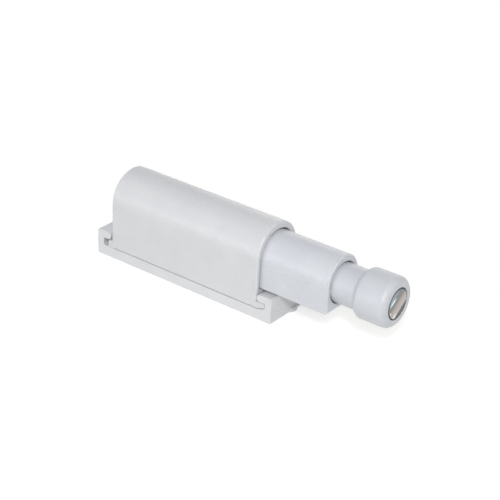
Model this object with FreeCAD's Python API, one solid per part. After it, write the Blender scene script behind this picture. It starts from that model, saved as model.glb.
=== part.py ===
import FreeCAD, Part
import math
import os

V = FreeCAD.Vector

# Telescopic push to open catch, in millimetres
# +X is the way the plungers come out, Z is up, and the origin is on the base plate's
# underside, midway between its two screw holes. Both plungers are modelled fully out.

# Outer plunger
plunger_width = 13.8        # side to side
plunger_height = 14.35
plunger_drop = 6.8          # from the axis down to the flat underside
plunger_length = 38.0
plunger_reach = 20.95       # what shows in front of the housing
plunger_travel = 29.0       # full push, past the latched place
plunger_web = 1.5           # wall between the two springs
plunger_bevel = 0.4         # front end's edges
corner_round = 0.4          # long lower edges

# Inner plunger
rod_radius = 5.45
rod_reach = 6.45            # what shows between outer plunger and head
rod_guide = 1.2             # thick part of the rod inside the outer plunger
rod_bevel = 0.3
stem_radius = 3.5
stem_length = 16.4
head_radius = 6.9
head_length = 10.05
head_back_slope = 1.0       # steep part of the shoulder behind the head
head_back_run = 1.2         # easy part, up to the full radius
head_back_rise = 0.45
head_front_round = 1.8
tip_stop_gap = 0.1          # head stays this far off the outer plunger

# Housing
housing_length = 50.5
side_wall = 1.25
roof_wall = 1.9
rear_wall = 2.0
floor_web = 1.4             # between the channel and the latch pocket
foot_depth = 3.4            # from the floor web down to the base plate
housing_round = 0.55        # front end's edges
rear_bevel = 0.4
mouth_bevel = 0.2           # inner edge of each mouth
parting_groove = 0.25       # along the foot's lower edges

# Running clearances
slide_gap = 0.35            # outer plunger in the housing, all round
rod_gap = 0.3               # thick rod in the outer plunger's mouth
stem_gap = 0.2
pivot_gap = 0.05
press_gap = 0.02            # pressed pins and discs
seat_gap = 0.15             # parts that clip together
end_gap = 0.3               # left over at the end of a stroke

# Base plate
base_floor = 3.1
hook_height = 7.4
hook_wall = 2.1
lip_reach = 2.6
lip_thickness = 2.05
lip_round = 0.9
lip_gap = 0.3               # lip to housing
rear_tongue = 1.1
ramp_run = 2.4              # front tongue's underside curves up over this length
ramp_rise = 0.7
ramp_round = 3.0
base_round = 0.3
screw_spacing = 32.0
screw_hole_radius = 1.8
screw_head_radius = 3.6
tab_radius = 3.0            # round tab at the foot of the front hook
tab_reach = 0.6
tab_thickness = 1.2
tab_offset = 1.9

# Magnet in the head
magnet_radius = 4.35
magnet_thickness = 3.0
magnet_bevel = 0.35
backing_thickness = 0.8

# Springs, with a many-sided wire so that they stay light
wire_sides = 6
turn_steps = 8              # straight runs in one turn
main_wire = 0.35            # wire radius
main_coil = 3.45            # mean coil radius
main_turns = 10
main_bore_gap = 0.5
spigot_radius = 2.5
spigot_length = 9.0
tip_wire = 0.25
tip_coil = 2.05
tip_turns = 6
tip_bore_gap = 0.25
tip_bore_depth = 5.0

# Stop pin, pressed up into the outer plunger from below
stop_radius = 0.75
stop_slot_gap = 0.15
stop_wall = 0.8             # material in front of the stop pin
stop_bite = 1.2             # how far it enters the roof above the stem

# Latch
wire_radius = 0.6
wire_bend = 0.55
follower_length = 14.0      # pivot to tip
lane_offset = 2.4           # side to side, from the middle to either lane of the track
lane_gap = 0.3
track_depth = 1.3
tip_rest_x = 4.0            # where the tip waits behind the outer plunger
latch_overtravel = 3.0      # push needed past the latched place
heart_length = 15.0
heart_nose = 2.5
heart_lobe = 0.8
heart_notch = 0.9
funnel_length = 4.0
funnel_flare = 1.2
wire_height = 2.55          # follower's lower run above the base plate
slot_gap = 0.4

# Latch pocket, its cover and the leaf spring
pocket_half = 5.7
pocket_margin = 3.2
cover_ledge = 0.8
cover_thickness = 1.0
leaf_thickness = 0.3
leaf_width = 3.0
leaf_length = 12.0
leaf_touch_gap = 0.1
core_wall = 1.6

# Heights
web_z = base_floor + foot_depth
channel_z = web_z + floor_web
plunger_z = channel_z + slide_gap
axis_z = plunger_z + plunger_drop
channel_half = plunger_width / 2 + slide_gap
housing_half = channel_half + side_wall
arch_z = plunger_z + plunger_height - plunger_width / 2
housing_top = arch_z + channel_half + roof_wall
lip_z = hook_height - lip_thickness
tongue_z = lip_z - seat_gap

# Places along X
front_x = housing_length / 2
rear_x = -front_x
hook_x = front_x + lip_gap + lip_reach
base_x = hook_x + hook_wall
plunger_front = front_x + plunger_reach
plunger_rear = plunger_front - plunger_length
head_rear = plunger_front + rod_reach
head_front = head_rear + head_length
tip_travel = rod_reach - tip_stop_gap
shoulder_x = plunger_front - rod_guide
stem_rear = shoulder_x - stem_length
mouth_floor = shoulder_x - tip_travel - end_gap
web_front = stem_rear - tip_travel - end_gap
web_rear = web_front - plunger_web
spring_seat = rear_x + rear_wall
stop_x = mouth_floor - stop_wall - stop_radius
main_bore = main_coil + main_wire + main_bore_gap
tip_bore = tip_coil + tip_wire + tip_bore_gap
mouth_radius = rod_radius + rod_gap
stop_top = axis_z + stem_radius + stem_gap + stop_bite

# Latch geometry
lane_angle = math.asin(lane_offset / follower_length)
pivot_x = tip_rest_x - follower_length * math.cos(lane_angle)
wire_z = base_floor + wire_height
track_half = lane_offset + wire_radius + lane_gap
heart_half = lane_offset - wire_radius - lane_gap
furthest_tip = pivot_x + follower_length + plunger_travel
track_end = furthest_tip + wire_radius + lane_gap
notch_x = tip_rest_x + plunger_travel - latch_overtravel - wire_radius
pocket_rear = pivot_x - pocket_margin
pocket_front = pivot_x + follower_length + pocket_margin


def box(x0, x1, y0, y1, z0, z1):
    return Part.makeBox(x1 - x0, y1 - y0, z1 - z0, V(x0, y0, z0))


def rod_along_x(radius, x0, x1):
    return Part.makeCylinder(radius, x1 - x0, V(x0, 0, axis_z), V(1, 0, 0))


def post(radius, x, y, z0, z1):
    return Part.makeCylinder(radius, z1 - z0, V(x, y, z0), V(0, 0, 1))


def rounded_wire(corners, place):
    """Closed wire through (a, b, radius) corners, each rounded by its own tangent arc."""
    points = [V(a, b, 0) for a, b, radius in corners]
    edges = []
    last_end = None
    first_start = None
    for i, (a, b, radius) in enumerate(corners):
        corner = points[i]
        back = (points[i - 1] - corner).normalize()
        ahead = (points[(i + 1) % len(points)] - corner).normalize()
        start = corner
        end = corner
        arc = None
        if radius > 0:
            half = math.acos(max(-1.0, min(1.0, back.dot(ahead)))) / 2
            start = corner + back * (radius / math.tan(half))
            end = corner + ahead * (radius / math.tan(half))
            bisector = (back + ahead).normalize()
            middle = corner + bisector * (radius / math.sin(half) - radius)
            arc = Part.Arc(place(start), place(middle), place(end)).toShape()
        if last_end is not None:
            edges.append(Part.makeLine(place(last_end), place(start)))
        else:
            first_start = start
        if arc is not None:
            edges.append(arc)
        last_end = end
    edges.append(Part.makeLine(place(last_end), place(first_start)))
    return Part.Wire(edges)


def side_profile(corners, half_width):
    """Solid across the width from a side view outline in X and Z."""
    wire = rounded_wire(corners, lambda p: V(p.x, -half_width, p.y))
    return Part.Face(wire).extrude(V(0, 2 * half_width, 0))


def plan_profile(corners, z0, z1):
    """Upright solid from a plan outline in X and Y."""
    wire = rounded_wire(corners, lambda p: V(p.x, p.y, z0))
    return Part.Face(wire).extrude(V(0, 0, z1 - z0))


def d_section(half, arch_z, bottom_z, x0, x1):
    """Prism along X with a flat bottom, straight sides and a half-round top."""
    left_low = V(x0, -half, bottom_z)
    left_top = V(x0, -half, arch_z)
    crown = V(x0, 0, arch_z + half)
    right_top = V(x0, half, arch_z)
    right_low = V(x0, half, bottom_z)
    edges = [
        Part.makeLine(left_low, left_top),
        Part.Arc(left_top, crown, right_top).toShape(),
        Part.makeLine(right_top, right_low),
        Part.makeLine(right_low, left_low),
    ]
    return Part.Face(Part.Wire(edges)).extrude(V(x1 - x0, 0, 0))


def edges_at(shape, x, above=None):
    """Edges that lie in the plane at x and reach above a height, where one is given."""
    found = []
    for edge in shape.Edges:
        bounds = edge.BoundBox
        flat = abs(bounds.XMin - x) < 1e-4 and abs(bounds.XMax - x) < 1e-4
        if flat and (above is None or bounds.ZMax > above + 1e-3):
            found.append(edge)
    return found


def coil_spring(coil, wire, turns, x0, x1):
    """Compression spring along X, lofted through sections that climb in even steps."""
    rise = (x1 - x0 - 2 * wire) / (turns * turn_steps)
    sections = []
    for step in range(turns * turn_steps + 1):
        turn = 2 * math.pi * step / turn_steps
        corners = []
        for side in range(wire_sides + 1):
            angle = 2 * math.pi * side / wire_sides
            out = coil + wire * math.cos(angle)
            along = x0 + wire + rise * step + wire * math.sin(angle)
            corners.append(V(along, out * math.cos(turn), axis_z + out * math.sin(turn)))
        sections.append(Part.makePolygon(corners))
    return Part.makeLoft(sections, True, True)


def make_base_plate():
    """Floor strip with a C-shaped hook at each end, screwed down from above."""
    lip_x = front_x + lip_gap
    side = [
        (-base_x, 0, base_round),
        (base_x, 0, base_round),
        (base_x, hook_height, base_round),
        (lip_x, hook_height, lip_round),
        (lip_x, lip_z, lip_round),
        (hook_x, lip_z, base_round),
        (hook_x, base_floor + ramp_rise, 0),
        (hook_x - ramp_run, base_floor, ramp_round),
        (-hook_x, base_floor, base_round),
        (-hook_x, lip_z, base_round),
        (-lip_x, lip_z, lip_round),
        (-lip_x, hook_height, lip_round),
        (-base_x, hook_height, base_round),
    ]
    plate = side_profile(side, housing_half)
    tab = post(tab_radius, base_x + tab_reach - tab_radius, tab_offset, 0, tab_thickness)
    plate = plate.fuse(tab)
    for x in (-screw_spacing / 2, screw_spacing / 2):
        sink = screw_head_radius - screw_hole_radius
        plate = plate.cut(post(screw_hole_radius, x, 0, -1, base_floor + 1))
        plate = plate.cut(Part.makeCone(screw_hole_radius, screw_head_radius, sink,
                                        V(x, 0, base_floor - sink), V(0, 0, 1)))
    return plate.removeSplitter()


def make_tongues():
    """The two tongues of the housing's foot that sit under the hooks' lips."""
    reach = hook_x - seat_gap
    lift = base_floor + seat_gap
    front = [
        (front_x - side_wall, lift, 0),
        (hook_x - ramp_run, lift, ramp_round),
        (reach, lift + ramp_rise, base_round),
        (reach, tongue_z, base_round),
        (front_x - side_wall, tongue_z, 0),
    ]
    rear = [
        (rear_x + side_wall, base_floor, 0),
        (rear_x + side_wall, tongue_z, 0),
        (rear_x - rear_tongue, tongue_z, base_round),
        (rear_x - rear_tongue, base_floor, base_round),
    ]
    return [side_profile(front, housing_half), side_profile(rear, housing_half)]


def make_housing():
    """D-section shell with a closed rear end, a spring spigot and a latch pocket in its foot."""
    body = d_section(housing_half, housing_top - housing_half, base_floor, rear_x, front_x)
    body = body.makeFillet(housing_round, edges_at(body, front_x, base_floor))
    body = body.makeChamfer(rear_bevel, edges_at(body, rear_x, base_floor))
    for side in (-1, 1):
        body = body.cut(make_parting_groove(side))
    for tongue in make_tongues():
        body = body.fuse(tongue)
    channel = d_section(channel_half, arch_z, channel_z, spring_seat, front_x + 1)
    body = body.cut(channel)
    mouth = [e for e in edges_at(body, front_x, channel_z) if e.BoundBox.YMax < channel_half + 0.01]
    body = body.makeChamfer(mouth_bevel, mouth)
    body = body.fuse(rod_along_x(spigot_radius, rear_x + rear_wall / 2, spring_seat + spigot_length))

    # latch pocket and the wider recess for its cover
    recess = pocket_half + cover_ledge
    ledge_z = base_floor + seat_gap + cover_thickness
    body = body.cut(box(pocket_rear, pocket_front, -pocket_half, pocket_half, base_floor - 1, web_z))
    body = body.cut(box(pocket_rear - cover_ledge, pocket_front + cover_ledge,
                        -recess, recess, base_floor - 1, ledge_z))

    # cored foot in front of and behind the pocket
    rear_core = (rear_x + rear_wall, pocket_rear - cover_ledge - core_wall)
    front_core = (pocket_front + cover_ledge + core_wall, front_x - rear_wall)
    for x0, x1 in (rear_core, front_core):
        body = body.cut(box(x0, x1, -recess, recess, base_floor - 1, web_z))

    # pivot hole and the arc slot for the follower's tip
    body = body.cut(post(wire_radius + pivot_gap, pivot_x, 0, web_z - 1, channel_z + 1))
    body = body.cut(make_arc_slot(wire_radius + slot_gap, web_z - 1, channel_z + 1))
    return body.removeSplitter()


def make_parting_groove(side):
    """What is cut from one lower edge of the foot, so that a line shows above the base plate."""
    y = side * housing_half
    inner = side * (housing_half - parting_groove)
    corners = [(y, base_floor), (y, base_floor + parting_groove), (inner, base_floor), (y, base_floor)]
    outline = Part.makePolygon([V(rear_x, a, b) for a, b in corners])
    return Part.Face(outline).extrude(V(housing_length, 0, 0))


def make_arc_slot(half_width, z0, z1):
    """Curved slot about the follower's pivot, wide enough for its whole swing."""
    inner = follower_length - half_width
    outer = follower_length + half_width
    swing = math.degrees(lane_angle)
    ring = Part.makeCylinder(outer, z1 - z0, V(pivot_x, 0, z0), V(0, 0, 1), 2 * swing)
    ring = ring.cut(Part.makeCylinder(inner, z1 - z0, V(pivot_x, 0, z0), V(0, 0, 1)))
    ring.rotate(V(pivot_x, 0, 0), V(0, 0, 1), -swing)
    for side in (-1, 1):
        ring = ring.fuse(post(half_width, tip_rest_x, side * lane_offset, z0, z1))
    return ring


def make_underside_cover():
    """Snap-in plate that closes the latch pocket from below."""
    half = pocket_half + cover_ledge - seat_gap
    x0 = pocket_rear - cover_ledge + seat_gap
    x1 = pocket_front + cover_ledge - seat_gap
    z0 = base_floor + seat_gap
    plate = box(x0, x1, -half, half, z0, z0 + cover_thickness)
    upright = [e for e in plate.Edges if e.BoundBox.ZLength > cover_thickness / 2]
    return plate.makeFillet(base_round, upright)


def make_latch_track():
    """Loop track for the follower's tip: two lanes round a heart with a notch at its front."""
    mouth = track_half + funnel_flare
    floor_z = plunger_z - 1
    roof_z = plunger_z + track_depth
    channel = [
        (plunger_rear - 1, -mouth, 0),
        (plunger_rear, -mouth, 0),
        (plunger_rear + funnel_length, -track_half, 0),
        (track_end, -track_half, wire_radius + lane_gap),
        (track_end, track_half, wire_radius + lane_gap),
        (plunger_rear + funnel_length, track_half, 0),
        (plunger_rear, mouth, 0),
        (plunger_rear - 1, mouth, 0),
    ]
    heart = [
        (notch_x - heart_length, 0, base_round),
        (notch_x - heart_length + heart_nose, -heart_half, 0),
        (notch_x + heart_lobe, -heart_half, heart_lobe / 2),
        (notch_x, 0, heart_notch / 2),
        (notch_x + heart_lobe, heart_half, heart_lobe / 2),
        (notch_x - heart_length + heart_nose, heart_half, 0),
    ]
    track = plan_profile(channel, floor_z, roof_z)
    return track.cut(plan_profile(heart, floor_z - 1, roof_z + 1))


def make_outer_plunger():
    """D-section sleeve: spring bore behind, stem bore and mouth in front, track underneath."""
    body = d_section(plunger_width / 2, arch_z, plunger_z, plunger_rear, plunger_front)
    long_edges = [e for e in body.Edges if e.BoundBox.XLength > plunger_length / 2 and
                  abs(e.BoundBox.ZMax - plunger_z) < 1e-4]
    body = body.makeFillet(corner_round, long_edges)
    body = body.makeChamfer(plunger_bevel, edges_at(body, plunger_front))
    body = body.cut(rod_along_x(main_bore, plunger_rear - 1, web_rear))
    body = body.cut(rod_along_x(stem_radius + stem_gap, web_front, plunger_front))
    body = body.cut(rod_along_x(mouth_radius, mouth_floor, plunger_front + 1))
    body = body.cut(Part.makeCone(mouth_radius, mouth_radius + mouth_bevel, mouth_bevel,
                                  V(plunger_front - mouth_bevel, 0, axis_z), V(1, 0, 0)))
    body = body.cut(make_latch_track())
    body = body.cut(post(stop_radius + press_gap, stop_x, 0, plunger_z - 1, stop_top + press_gap))
    return body.removeSplitter()


def make_stop_pin():
    """Steel pin through the stem's slot, which keeps the inner plunger from leaving."""
    return post(stop_radius, stop_x, 0, plunger_z + seat_gap, stop_top)


def make_inner_plunger():
    """Round plunger: stem with stop slot and spring bore, thick rod, and head with magnet pocket."""
    profile = [
        (stem_rear, 0, 0),
        (stem_rear, stem_radius - rod_bevel, 0),
        (stem_rear + rod_bevel, stem_radius, 0),
        (shoulder_x, stem_radius, 0),
        (shoulder_x, rod_radius - rod_bevel, 0),
        (shoulder_x + rod_bevel, rod_radius, 0),
        (head_rear, rod_radius, 0),
        (head_rear + head_back_slope, head_radius - head_back_rise, 0),
        (head_rear + head_back_slope + head_back_run, head_radius, 0),
        (head_front, head_radius, head_front_round),
        (head_front, 0, 0),
    ]
    wire = rounded_wire(profile, lambda p: V(p.x, 0, axis_z + p.y))
    body = Part.Face(wire).revolve(V(0, 0, axis_z), V(1, 0, 0), 360)
    pocket_floor = head_front - magnet_thickness - backing_thickness - press_gap
    body = body.cut(rod_along_x(magnet_radius + press_gap, pocket_floor, head_front + 1))
    body = body.cut(rod_along_x(tip_bore, stem_rear - 1, stem_rear + tip_bore_depth))
    body = body.cut(make_stop_slot())
    return body.removeSplitter()


def make_stop_slot():
    """Slot through the stem, as long as the tip's travel plus the stop pin."""
    half = stop_radius + stop_slot_gap
    x0 = stop_x
    x1 = stop_x + tip_travel
    slot = box(x0, x1, -half, half, axis_z - rod_radius - 1, axis_z + rod_radius + 1)
    for x in (x0, x1):
        slot = slot.fuse(post(half, x, 0, axis_z - rod_radius - 1, axis_z + rod_radius + 1))
    return slot


def make_magnet():
    """Plated disc, flush with the head, its front rim bevelled."""
    disc = rod_along_x(magnet_radius, head_front - magnet_thickness, head_front)
    return disc.makeChamfer(magnet_bevel, edges_at(disc, head_front))


def make_backing_plate():
    x1 = head_front - magnet_thickness
    return rod_along_x(magnet_radius, x1 - backing_thickness, x1)


def make_latch_follower():
    """Steel wire bent up at both ends: a pivot in the floor web and a tip in the track."""
    pivot_top = channel_z - seat_gap
    tip_top = plunger_z + track_depth - 2 * seat_gap
    path = Part.makePolygon([
        V(0, 0, pivot_top),
        V(0, 0, wire_z + wire_bend),
        V(wire_bend, 0, wire_z),
        V(follower_length - wire_bend, 0, wire_z),
        V(follower_length, 0, wire_z + wire_bend),
        V(follower_length, 0, tip_top),
    ])
    section = Part.Wire(Part.makeCircle(wire_radius, V(0, 0, pivot_top), V(0, 0, 1)))
    wire = path.makePipeShell([section], True, False, 1)
    wire.rotate(V(0, 0, 0), V(0, 0, 1), math.degrees(lane_angle))
    wire.translate(V(pivot_x, 0, 0))
    return wire


def make_leaf_spring():
    """Arched strip between the cover and the follower, which holds the tip in the track."""
    rest_z = base_floor + seat_gap + cover_thickness
    rise = wire_z - wire_radius - leaf_touch_gap - leaf_thickness - rest_z
    middle = pivot_x + follower_length / 2
    x0 = middle - leaf_length / 2
    x1 = middle + leaf_length / 2
    t = leaf_thickness
    lower = Part.Arc(V(x0, 0, rest_z), V(middle, 0, rest_z + rise), V(x1, 0, rest_z)).toShape()
    upper = Part.Arc(V(x0, 0, rest_z + t), V(middle, 0, rest_z + rise + t), V(x1, 0, rest_z + t)).toShape()
    left = Part.makeLine(V(x0, 0, rest_z), V(x0, 0, rest_z + t))
    right = Part.makeLine(V(x1, 0, rest_z + t), V(x1, 0, rest_z))
    strip = Part.Face(Part.Wire([left, upper, right, lower])).extrude(V(0, leaf_width, 0))
    strip.translate(V(0, -leaf_width / 2, 0))
    return strip


nodes = {
    "base_plate": make_base_plate(),
    "housing": make_housing(),
    "underside_cover": make_underside_cover(),
    "latch_follower": make_latch_follower(),
    "leaf_spring": make_leaf_spring(),
    "outer_plunger": make_outer_plunger(),
    "stop_pin": make_stop_pin(),
    "main_spring": coil_spring(main_coil, main_wire, main_turns, spring_seat, web_rear),
    "inner_plunger": make_inner_plunger(),
    "magnet": make_magnet(),
    "backing_plate": make_backing_plate(),
    "tip_spring": coil_spring(tip_coil, tip_wire, tip_turns, web_front, stem_rear + tip_bore_depth),
}

os.makedirs("parts", exist_ok=True)
for name, shape in nodes.items():
    shape.exportStep(os.path.join("parts", name + ".step"))
    print(name, "valid", shape.isValid(), "solids", len(shape.Solids), "volume", round(shape.Volume, 2))
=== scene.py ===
import math
import bmesh
import bpy
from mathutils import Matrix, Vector


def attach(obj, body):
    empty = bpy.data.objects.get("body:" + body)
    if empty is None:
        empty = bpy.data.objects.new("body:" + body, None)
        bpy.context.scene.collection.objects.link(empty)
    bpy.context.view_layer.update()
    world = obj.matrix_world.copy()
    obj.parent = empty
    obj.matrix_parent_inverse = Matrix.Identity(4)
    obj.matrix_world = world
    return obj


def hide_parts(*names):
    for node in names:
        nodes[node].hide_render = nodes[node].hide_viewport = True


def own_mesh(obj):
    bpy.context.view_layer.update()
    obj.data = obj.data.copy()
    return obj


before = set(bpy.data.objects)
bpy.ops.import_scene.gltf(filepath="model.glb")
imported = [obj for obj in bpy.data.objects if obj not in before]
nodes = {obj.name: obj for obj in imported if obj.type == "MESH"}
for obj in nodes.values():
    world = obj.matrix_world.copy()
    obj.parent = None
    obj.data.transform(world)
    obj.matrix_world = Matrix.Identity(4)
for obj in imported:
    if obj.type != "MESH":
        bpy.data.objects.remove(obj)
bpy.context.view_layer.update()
mm = 0.001
print("frame loaded,", len(nodes), "nodes")


# picture

photoView = {
    "azimuth": 36.306,           # degrees round from -Y towards +X
    "elevation": 27.636,
    "roll": 2.822,
    "distance": 392.67 * mm,
    "aim": (29.6 * mm, 0.0, 12.0 * mm),
    "slideRight": -10.413 * mm,  # the aim point moved in the picture plane
    "slideUp": 5.726 * mm,
    "focalPixels": 1506.13,
    "imagePixels": 500,
    "sensor": 36.0,
}


def backVector(azimuth, elevation):
    turn = math.radians(azimuth)
    rise = math.radians(elevation)
    return Vector((math.sin(turn) * math.cos(rise), -math.cos(turn) * math.cos(rise), math.sin(rise)))


def makeCamera(v):
    roll = math.radians(v["roll"])
    back = backVector(v["azimuth"], v["elevation"])
    level = backVector(v["azimuth"] + 90, 0)
    upright = back.cross(level)
    right = math.cos(roll) * level + math.sin(roll) * upright
    up = -math.sin(roll) * level + math.cos(roll) * upright
    place = Vector(v["aim"]) + v["slideRight"] * right + v["slideUp"] * up + v["distance"] * back
    data = bpy.data.cameras.new("photoCamera")
    data.sensor_width = v["sensor"]
    data.lens = v["focalPixels"] / v["imagePixels"] * v["sensor"]
    data.clip_start = 0.01
    data.clip_end = 50.0
    camera = bpy.data.objects.new("photoCamera", data)
    bpy.context.scene.collection.objects.link(camera)
    turnMatrix = [[right[i], up[i], back[i], place[i]] for i in range(3)]
    for row in range(3):
        for column in range(4):
            camera.matrix_world[row][column] = turnMatrix[row][column]
    bpy.context.scene.camera = camera
    return camera


makeCamera(photoView)
bpy.context.scene.view_settings.view_transform = "Standard"
print("camera set")


# shader maths: an expression on wires adds its Math nodes

class Wire:
    def __init__(self, tree, socket):
        self.tree = tree
        self.socket = socket

    def calc(self, operation, first, second):
        return addNode(self.tree, "ShaderNodeMath", {"operation": operation}, {0: first, 1: second})

    def __add__(self, other):
        return self.calc("ADD", self, other)

    def __radd__(self, other):
        return self.calc("ADD", other, self)

    def __sub__(self, other):
        return self.calc("SUBTRACT", self, other)

    def __rsub__(self, other):
        return self.calc("SUBTRACT", other, self)

    def __mul__(self, other):
        return self.calc("MULTIPLY", self, other)

    def __rmul__(self, other):
        return self.calc("MULTIPLY", other, self)

    def __pow__(self, other):
        return self.calc("POWER", self, other)


def addNode(tree, kind, settings=None, sockets=None, output=0):
    made = tree.nodes.new(kind)
    for name, value in (settings or {}).items():
        if name == "stops":
            setStops(made.color_ramp, value)
        else:
            setattr(made, name, value)
    for key, value in (sockets or {}).items():
        if isinstance(value, Wire):
            tree.links.new(value.socket, made.inputs[key])
        else:
            made.inputs[key].default_value = value
    return Wire(tree, made.outputs[output] if made.outputs else None)


def setStops(ramp, stops):
    while len(ramp.elements) > 1:
        ramp.elements.remove(ramp.elements[-1])
    for i, (position, colour) in enumerate(stops):
        element = ramp.elements[0] if i == 0 else ramp.elements.new(position)
        element.position = position
        element.color = colour


def newMaterial(name):
    material = bpy.data.materials.new(name)
    material.use_nodes = True
    material.node_tree.nodes.clear()
    return material, material.node_tree


def finishMaterial(tree, shader):
    addNode(tree, "ShaderNodeOutputMaterial", None, {"Surface": shader})


def splitAxes(tree, spot):
    first = addNode(tree, "ShaderNodeSeparateXYZ", None, {0: spot})
    return [Wire(tree, socket) for socket in first.socket.node.outputs]


def mixColours(tree, share, first, second):
    return addNode(tree, "ShaderNodeMix", {"data_type": "RGBA"}, {0: share, 6: first, 7: second}, 2)


def clamped(tree, value):
    return addNode(tree, "ShaderNodeClamp", None, {0: value})


def noise(tree, spot, size, detail, roughness):
    return addNode(tree, "ShaderNodeTexNoise", None,
                   {"Vector": spot, "Scale": 1 / size, "Detail": detail, "Roughness": roughness})


def rgba(r, g, b):
    return (r, g, b, 1.0)


# finishes

mouldedLook = {
    "tone": rgba(0.640, 0.645, 0.660),
    "shade": rgba(0.605, 0.612, 0.635),
    "refraction": 1.49,
    "roughness": 0.32,
    "roughnessSwing": 0.12,
    "cloudSize": 9.0 * mm,       # slow drift in the tone
    "cloudFrom": 0.35,
    "cloudGain": 2.2,
    "grainSize": 0.773 * mm,     # spark-eroded tool surface
    "fineSize": 0.386 * mm,
    "fineShare": 0.65,           # of the grain's height
    "grainDepth": 0.10 * mm,
    "sparkle": 1.00,             # grains that catch the light
    "sparkleFrom": 0.56,         # only the tallest grains
    "sparkleGain": 16,
    "sparkleRoughness": 0.32,
    # painted shade for the parting gap
    "seamShade": rgba(0.55, 0.56, 0.58),
}

plungerLook = dict(
    mouldedLook,
    tone=rgba(0.610, 0.630, 0.650),
    shade=rgba(0.575, 0.590, 0.640),
    roughnessSwing=0.10,
    cloudSize=7.0 * mm,
    grainSize=0.80 * mm,
    fineSize=0.40 * mm,
    sparkle=0.90,
    seamShade=None,
)

headLook = dict(
    plungerLook,
    tone=rgba(0.580, 0.597, 0.620),
    shade=rgba(0.548, 0.562, 0.610),
    sparkle=0.40,
    sparkleRoughness=0.44,
)

baseLook = dict(
    mouldedLook,
    tone=rgba(0.670, 0.674, 0.688),
    shade=rgba(0.635, 0.642, 0.664),
)

# painted shade of the parting gap between housing and base plate, a dark line over the real gap
seamShadePlace = {
    "height": 3.1 * mm,
    "halfWidth": 0.13 * mm,
    "soft": 0.06 * mm,
    "sideFrom": 8.2 * mm,        # only this far out from the middle
    "rear": -26.4 * mm,
    "rampFrom": 25.3 * mm,
    "rampCurve": 0.12,           # rise in mm per mm squared
    "front": 27.9 * mm,
}


def seamShadeShare(tree, spot, place):
    x, y, z = splitAxes(tree, spot)
    past = x.calc("MAXIMUM", x - place["rampFrom"], 0.0)
    line = past * past * (place["rampCurve"] / mm) + place["height"]
    off = z.calc("ABSOLUTE", z - line, 0.0)
    near = clamped(tree, (place["halfWidth"] + place["soft"] - off) * (1 / place["soft"]))
    wide = y.calc("GREATER_THAN", y.calc("ABSOLUTE", y, 0.0), place["sideFrom"])
    inside = x.calc("GREATER_THAN", x, place["rear"]) * x.calc("LESS_THAN", x, place["front"])
    return near * wide * inside


def mouldedPlastic(name, look):
    material, tree = newMaterial(name)
    spot = addNode(tree, "ShaderNodeTexCoord", None, None, "Object")
    cloud = noise(tree, spot, look["cloudSize"], 3.0, 0.55)
    grain = noise(tree, spot, look["grainSize"], 2.0, 0.6)
    fine = noise(tree, spot, look["fineSize"], 1.0, 0.5)
    colour = mixColours(tree, (cloud - look["cloudFrom"]) * look["cloudGain"], look["shade"], look["tone"])
    # the parting gap's shade, painted as a dark line on the sides
    if look["seamShade"]:
        colour = mixColours(tree, seamShadeShare(tree, spot, seamShadePlace), colour, look["seamShade"])
    height = grain * (1 - look["fineShare"]) + fine * look["fineShare"]
    bump = addNode(tree, "ShaderNodeBump", None, {"Strength": 1.0, "Distance": look["grainDepth"], "Height": height})
    rough = look["roughness"] + (grain - 0.5) * look["roughnessSwing"] * 2
    sparkle = clamped(tree, (grain - look["sparkleFrom"]) * look["sparkleGain"]) * look["sparkle"]
    shader = addNode(tree, "ShaderNodeBsdfPrincipled", None,
                     {"Base Color": colour, "Roughness": rough, "Normal": bump, "IOR": look["refraction"],
                      "Coat Weight": sparkle, "Coat Roughness": look["sparkleRoughness"]})
    finishMaterial(tree, shader)
    return material


nickelLook = {
    "middle": (0.0, 15.05 * mm),     # of the disc, across and up
    "radius": 4.35 * mm,
    "grind": 36.0,                   # degrees up from +Y that the grinding marks run
    # painted reflection of the surroundings, in bands across the disc
    "paintedReflectionBands": [
        (0.00, rgba(0.36, 0.42, 0.48)),
        (0.15, rgba(0.28, 0.34, 0.40)),
        (0.26, rgba(0.20, 0.22, 0.22)),
        (0.34, rgba(0.32, 0.32, 0.31)),
        (0.38, rgba(0.15, 0.14, 0.13)),
        (0.41, rgba(0.33, 0.32, 0.31)),
        (0.50, rgba(0.43, 0.39, 0.37)),
        (0.58, rgba(0.51, 0.45, 0.43)),
        (0.68, rgba(0.49, 0.46, 0.45)),
        (0.75, rgba(0.56, 0.55, 0.52)),
        (0.78, rgba(0.16, 0.16, 0.15)),
        (0.90, rgba(0.12, 0.12, 0.13)),
        (1.00, rgba(0.18, 0.18, 0.18)),
    ],
    "paintedGlints": [                      # painted highlights: across, along, half sizes, all in shares of the radius
        (-0.54, -0.26, 0.09, 0.36, rgba(0.78, 0.88, 0.92)),
        (-0.12, -0.80, 0.10, 0.06, rgba(0.80, 0.74, 0.74)),
        (0.40, -0.66, 0.06, 0.24, rgba(0.98, 0.96, 0.93)),
    ],
    "glintFull": 1.6,                # a painted highlight fades from here to nought over its edge
    "glintFade": 1.3,
    "rim": rgba(0.09, 0.10, 0.11),
    "rimStart": 0.87,                # painted dark reflection on the rounded edge, from this share of the radius
    "rimRun": 0.06,
    "roughness": 0.14,
    "markWide": 0.13 * mm,
    "markLong": 3.2 * mm,
    "markShift": 0.12,               # how far a mark moves the painted reflection bands
    "markFrom": 0.35,
    "markDepth": 0.75,               # how much it dims them
    "markRoughness": 0.10,
}


# The disc's colour is painted reflection: bands of the surroundings, painted highlights and a painted dark rim,
# moved and dimmed by real grinding marks.
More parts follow.
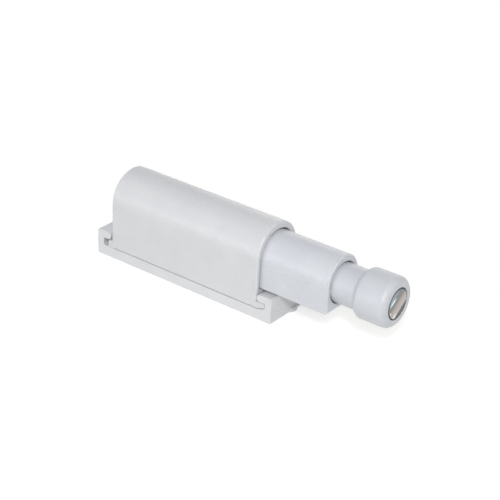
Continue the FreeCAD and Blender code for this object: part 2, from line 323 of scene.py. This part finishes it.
def nickelPlate(name, look):
    material, tree = newMaterial(name)
    spot = addNode(tree, "ShaderNodeTexCoord", None, None, "Object")
    y, z = [axis - middle for axis, middle in zip(splitAxes(tree, spot)[1:], look["middle"])]
    turn = math.radians(look["grind"])
    along = y * math.cos(turn) + z * math.sin(turn)
    across = y * math.sin(turn) - z * math.cos(turn)
    place = addNode(tree, "ShaderNodeCombineXYZ", None,
                    {0: across * (1 / look["markWide"]), 1: along * (1 / look["markLong"])})
    mark = noise(tree, place, 1.0, 3.0, 0.6)
    # painted reflection bands, moved and dimmed by the grinding marks
    share = across * (0.5 / look["radius"]) + 0.5 + (mark - 0.5) * look["markShift"]
    paintedBand = addNode(tree, "ShaderNodeValToRGB", {"stops": look["paintedReflectionBands"]}, {0: share})
    dim = 1 - (mark - look["markFrom"]) * look["markDepth"]
    markedReflection = addNode(tree, "ShaderNodeVectorMath", {"operation": "SCALE"}, {0: paintedBand, "Scale": dim})
    # painted highlights on the disc
    for nearAcross, nearAlong, wide, long, tint in look["paintedGlints"]:
        a = (across * (1 / look["radius"]) - nearAcross) * (1 / wide)
        b = (along * (1 / look["radius"]) - nearAlong) * (1 / long)
        paintedGlint = clamped(tree, look["glintFull"] - (a * a + b * b) ** 0.5 * look["glintFade"])
        markedReflection = mixColours(tree, paintedGlint, markedReflection, tint)
    # painted dark reflection at the rounded rim
    out = (y * y + z * z) ** 0.5 * (1 / look["radius"])
    rim = clamped(tree, (out - look["rimStart"]) * (1 / look["rimRun"]))
    colour = mixColours(tree, rim, markedReflection, look["rim"])
    rough = look["roughness"] + mark * look["markRoughness"]
    shader = addNode(tree, "ShaderNodeBsdfPrincipled", None,
                     {"Base Color": colour, "Metallic": 1.0, "Roughness": rough})
    finishMaterial(tree, shader)
    return material


steelLook = {
    "tone": rgba(0.56, 0.57, 0.58),
    "shade": rgba(0.40, 0.41, 0.43),
    "roughness": 0.28,
    "roughnessSwing": 0.15,
    "drawnSize": 0.25 * mm,
}


def drawnSteel(name, look):
    material, tree = newMaterial(name)
    spot = addNode(tree, "ShaderNodeTexCoord", None, None, "Object")
    drawn = noise(tree, spot, look["drawnSize"], 3.0, 0.6)
    colour = mixColours(tree, drawn, look["shade"], look["tone"])
    rough = look["roughness"] + drawn * look["roughnessSwing"]
    shader = addNode(tree, "ShaderNodeBsdfPrincipled", None,
                     {"Base Color": colour, "Metallic": 1.0, "Roughness": rough})
    finishMaterial(tree, shader)
    return material


housingPlastic = mouldedPlastic("housingPlastic", mouldedLook)
plungerPlastic = mouldedPlastic("plungerPlastic", plungerLook)
headPlastic = mouldedPlastic("headPlastic", headLook)
basePlastic = mouldedPlastic("basePlastic", baseLook)
nickel = nickelPlate("nickelPlate", nickelLook)
steel = drawnSteel("drawnSteel", steelLook)

finishOf = {
    "base_plate": basePlastic,
    "housing": housingPlastic,
    "underside_cover": housingPlastic,
    "outer_plunger": plungerPlastic,
    "inner_plunger": headPlastic,
    "magnet": nickel,
    "latch_follower": steel,
    "leaf_spring": steel,
    "stop_pin": steel,
    "main_spring": steel,
    "backing_plate": steel,
    "tip_spring": steel,
}

for name, material in finishOf.items():
    for slot in nodes[name].material_slots:
        slot.material = material
print("finishes on", len(finishOf), "nodes")


# inner plunger, turned: its rounds are smoother than the solid's

tipShape = {
    "axisHeight": 15.05 * mm,
    "stemRear": 28.6, "stemRadius": 3.5, "boreRadius": 2.55, "boreDepth": 5.0,      # mm
    "shoulder": 45.0, "rodRadius": 5.45, "bevel": 0.3,
    "headRear": 52.65, "headFront": 62.7, "headRadius": 6.9,
    "neckRound": 0.22, "backRound": 1.55, "backEase": 1.25, "frontRound": 1.8,
    "pocketRadius": 4.37, "pocketDepth": 3.82, "rimBevel": 0.08,
    "slotFrom": 36.8, "slotTo": 43.15, "slotHalf": 0.9, "slotSteps": 16,
    "sides": 128,
    "sharpFrom": 35,                                   # degrees between faces that stay an edge
}


def arcPoints(x, r, radius, start, end, steps):
    turns = [math.radians(start + (end - start) * i / steps) for i in range(steps + 1)]
    return [(x + radius * math.cos(t), r + radius * math.sin(t)) for t in turns]


def tipProfile(s):
    neck, back, front, edge = s["neckRound"], s["backRound"], s["frontRound"], s["bevel"]
    points = [(s["stemRear"] + s["boreDepth"], 0.0), (s["stemRear"] + s["boreDepth"], s["boreRadius"]),
              (s["stemRear"], s["boreRadius"]), (s["stemRear"], s["stemRadius"] - edge),
              (s["stemRear"] + edge, s["stemRadius"]), (s["shoulder"], s["stemRadius"]),
              (s["shoulder"], s["rodRadius"] - edge), (s["shoulder"] + edge, s["rodRadius"])]
    points += arcPoints(s["headRear"] - neck, s["rodRadius"] + neck, neck, -90, -20, 5)
    backArc = arcPoints(s["headRear"] + back * s["backEase"], s["headRadius"] - back, back, 165, 90, 12)
    points += [(x, r) for x, r in backArc if r > s["rodRadius"] + neck]
    points += arcPoints(s["headFront"] - front, s["headRadius"] - front, front, 90, 0, 14)
    points += [(s["headFront"], s["pocketRadius"] + s["rimBevel"]),
               (s["headFront"] - s["rimBevel"], s["pocketRadius"]),
               (s["headFront"] - s["pocketDepth"], s["pocketRadius"]), (s["headFront"] - s["pocketDepth"], 0.0)]
    return points


def lathe(name, points, sides, height):
    builder = bmesh.new()
    ring = [builder.verts.new((x * mm, 0.0, r * mm)) for x, r in points]
    for a, b in zip(ring, ring[1:]):
        builder.edges.new((a, b))
    bmesh.ops.spin(builder, geom=builder.verts[:] + builder.edges[:], cent=(0, 0, 0), axis=(1, 0, 0),
                   angle=math.tau, steps=sides, use_merge=True)
    bmesh.ops.remove_doubles(builder, verts=builder.verts, dist=0.0005 * mm)
    bmesh.ops.translate(builder, verts=builder.verts, vec=(0, 0, height))
    bmesh.ops.recalc_face_normals(builder, faces=builder.faces)
    mesh = bpy.data.meshes.new(name)
    builder.to_mesh(mesh)
    builder.free()
    return bpy.data.objects.new(name, mesh)


def slotCutter(s):
    builder = bmesh.new()
    outline = []
    for centre, start in ((s["slotTo"], -90), (s["slotFrom"], 90)):
        outline += arcPoints(centre, 0.0, s["slotHalf"], start, start + 180, s["slotSteps"])
    reach = (s["rodRadius"] + 1) * mm
    bottom = [builder.verts.new((x * mm, y * mm, s["axisHeight"] - reach)) for x, y in outline]
    base = builder.faces.new(bottom)
    raised = bmesh.ops.extrude_face_region(builder, geom=[base])
    bmesh.ops.translate(builder, verts=[v for v in raised["geom"] if isinstance(v, bmesh.types.BMVert)],
                        vec=(0, 0, 2 * reach))
    bmesh.ops.recalc_face_normals(builder, faces=builder.faces)
    mesh = bpy.data.meshes.new("slotCutter")
    builder.to_mesh(mesh)
    builder.free()
    return bpy.data.objects.new("slotCutter", mesh)


def bake(obj):
    bpy.context.view_layer.update()
    seen = obj.evaluated_get(bpy.context.evaluated_depsgraph_get())
    mesh = bpy.data.meshes.new_from_object(seen)
    obj.modifiers.clear()
    obj.data = mesh
    return obj


def smooth(mesh, angle):
    mesh.polygons.foreach_set("use_smooth", [True] * len(mesh.polygons))
    mesh.set_sharp_from_angle(angle=math.radians(angle))


def makeTip(s):
    tip = lathe("tipPlunger", tipProfile(s), s["sides"], s["axisHeight"])
    cutter = slotCutter(s)
    for obj in (tip, cutter):
        bpy.context.scene.collection.objects.link(obj)
    cut = tip.modifiers.new("stopSlot", "BOOLEAN")
    cut.operation = "DIFFERENCE"
    cut.solver = "EXACT"
    cut.object = cutter
    bake(tip)
    bpy.data.objects.remove(cutter)
    smooth(tip.data, s["sharpFrom"])
    tip.data.materials.clear()
    tip.data.materials.append(headPlastic)
    return tip


tip = makeTip(tipShape)
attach(tip, "inner_stage")
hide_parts("inner_plunger")
print("inner plunger turned,", len(tip.data.vertices), "vertices")


# springs

springs = {
    "main_spring": {
        "wire": 0.35 * mm, "coil": 3.45 * mm, "turns": 10.0, "from": -23.25 * mm, "to": 20.45 * mm,
        "body": "body", "joint": "plunger_slide", "keep": 0.336,
    },
    "tip_spring": {
        "wire": 0.25 * mm, "coil": 2.05 * mm, "turns": 6.0, "from": 21.95 * mm, "to": 33.6 * mm,
        "body": "outer_stage", "joint": "tip_slide", "keep": 0.455,
    },
}


def springTree():
    tree = bpy.data.node_groups.new("coilSpring", "GeometryNodeTree")
    for name in ("Coil Radius", "Wire Radius", "Turns", "Length", "Start", "Height"):
        tree.interface.new_socket(name, in_out="INPUT", socket_type="NodeSocketFloat")
    tree.interface.new_socket("Material", in_out="INPUT", socket_type="NodeSocketMaterial")
    tree.interface.new_socket("Geometry", in_out="OUTPUT", socket_type="NodeSocketGeometry")
    given = tree.nodes.new("NodeGroupInput").outputs
    wire = {socket.name: Wire(tree, socket) for socket in given if socket.name}
    coil = addNode(tree, "GeometryNodeCurveSpiral", None,
                   {"Resolution": 40, "Rotations": wire["Turns"], "Start Radius": wire["Coil Radius"],
                    "End Radius": wire["Coil Radius"], "Height": wire["Length"]})
    section = addNode(tree, "GeometryNodeCurvePrimitiveCircle", None,
                      {"Resolution": 12, "Radius": wire["Wire Radius"]})
    solid = addNode(tree, "GeometryNodeCurveToMesh", None,
                    {"Curve": coil, "Profile Curve": section, "Fill Caps": True})
    shift = addNode(tree, "ShaderNodeCombineXYZ", None, {0: wire["Start"], 2: wire["Height"]})
    laid = addNode(tree, "GeometryNodeTransform", None,
                   {"Geometry": solid, "Translation": shift, "Rotation": (0.0, math.pi / 2, 0.0)})
    plain = addNode(tree, "GeometryNodeRealizeInstances", None, {0: laid})
    coated = addNode(tree, "GeometryNodeSetMaterial", None, {"Geometry": plain, "Material": wire["Material"]})
    addNode(tree, "NodeGroupOutput", None, {"Geometry": coated})
    return tree


def makeSpring(name, look, tree, height):
    obj = bpy.data.objects.new(name + "Coil", bpy.data.meshes.new(name + "Coil"))
    bpy.context.scene.collection.objects.link(obj)
    values = {
        "Coil Radius": look["coil"], "Wire Radius": look["wire"], "Turns": look["turns"],
        "Length": look["to"] - look["from"] - 2 * look["wire"], "Start": look["from"] + look["wire"],
        "Height": height, "Material": steel,
    }
    modifier = obj.modifiers.new("coil", "NODES")
    modifier.node_group = tree
    for item in tree.interface.items_tree:
        if item.in_out == "INPUT":
            modifier[item.identifier] = values[item.name]
    bake(obj)
    smooth(obj.data, 60)
    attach(obj, look["body"])
    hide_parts(name)
    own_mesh(obj)
    return obj


coilTree = springTree()
for name, look in springs.items():
    coil = makeSpring(name, look, coilTree, tipShape["axisHeight"])
    print(name, "wound,", len(coil.data.polygons), "faces")


# stage

stage = {
    "floorSize": 6.0,
    "floorColour": rgba(0.80, 0.80, 0.77),
    "whiteShare": 0.20,       # of what the camera and bright metal see of the floor near the part
    "whiteStrength": 2.72,
    "clearFrom": 0.09,        # metres out where the floor starts to turn plain white
    "clearTo": 0.28,
    "worldColour": rgba(0.98, 0.985, 1.0),
    "worldStrength": 0.425,
}


def seenRay(tree):
    toCamera = addNode(tree, "ShaderNodeLightPath", None, None, "Is Camera Ray")
    toMetal = addNode(tree, "ShaderNodeLightPath", None, None, "Is Glossy Ray")
    return toCamera.calc("MAXIMUM", toCamera, toMetal)


def makeFloor(look):
    half = look["floorSize"] / 2
    corners = [(-half, -half, 0), (half, -half, 0), (half, half, 0), (-half, half, 0)]
    mesh = bpy.data.meshes.new("floor")
    mesh.from_pydata(corners, [], [(0, 1, 2, 3)])
    floor = bpy.data.objects.new("floor", mesh)
    bpy.context.scene.collection.objects.link(floor)
    material, tree = newMaterial("floorCard")
    card = addNode(tree, "ShaderNodeBsdfDiffuse", None, {"Color": look["floorColour"]})
    spot = addNode(tree, "ShaderNodeTexCoord", None, None, "Object")
    out = addNode(tree, "ShaderNodeVectorMath", {"operation": "LENGTH"}, {0: spot}, "Value")
    clear = clamped(tree, (out - look["clearFrom"]) * (1 / (look["clearTo"] - look["clearFrom"])))
    plain = 1 / look["whiteStrength"]
    tint = mixColours(tree, clear, rgba(1, 1, 1), rgba(plain, plain, plain))
    white = addNode(tree, "ShaderNodeEmission", None, {"Color": tint, "Strength": look["whiteStrength"]})
    share = clear * (1 - look["whiteShare"]) + look["whiteShare"]
    both = addNode(tree, "ShaderNodeMixShader", None, {0: seenRay(tree) * share, 1: card, 2: white})
    finishMaterial(tree, both)
    mesh.materials.append(material)


def makeWorld(look):
    world = bpy.data.worlds.new("studio")
    bpy.context.scene.world = world
    world.use_nodes = True
    tree = world.node_tree
    tree.nodes.clear()
    soft = addNode(tree, "ShaderNodeBackground", None,
                   {"Color": look["worldColour"], "Strength": look["worldStrength"]})
    white = addNode(tree, "ShaderNodeBackground", None, {"Color": rgba(1, 1, 1), "Strength": 1.0})
    both = addNode(tree, "ShaderNodeMixShader", None, {0: seenRay(tree), 1: soft, 2: white})
    addNode(tree, "ShaderNodeOutputWorld", None, {"Surface": both})


lampAim = Vector((0.015, 0.0, 0.012))

lamps = {
    "flash": {"round": 37, "up": 41, "away": 0.75, "size": 0.05, "watts": 1.20},   # its shadow has a crisp edge
    "key": {"round": 38, "up": 32, "away": 0.75, "size": 0.20, "watts": 1.82},
    "shoulder": {"round": -48, "up": 45, "away": 0.75, "size": 0.04, "watts": 0.16},   # mirrored in the rounded tops
    "side": {"round": -25, "up": 10, "away": 0.75, "size": 0.36, "watts": 1.02},
    "right": {"round": 80, "up": 8, "away": 0.75, "size": 0.40, "watts": 0.45},
    "behind": {"round": 196, "up": 12, "away": 0.75, "size": 0.50, "watts": 0.72},
}


def makeLamp(name, look):
    data = bpy.data.lights.new(name, "AREA")
    data.shape = "SQUARE"
    data.size = look["size"]
    data.energy = look["watts"]
    lamp = bpy.data.objects.new(name, data)
    bpy.context.scene.collection.objects.link(lamp)
    place = look["away"] * backVector(look["round"], look["up"])
    lamp.location = place
    lamp.rotation_euler = (lampAim - place).to_track_quat("-Z", "Y").to_euler()


makeFloor(stage)
makeWorld(stage)
for name, look in lamps.items():
    makeLamp(name, look)
print("stage lit by", len(lamps), "lamps")
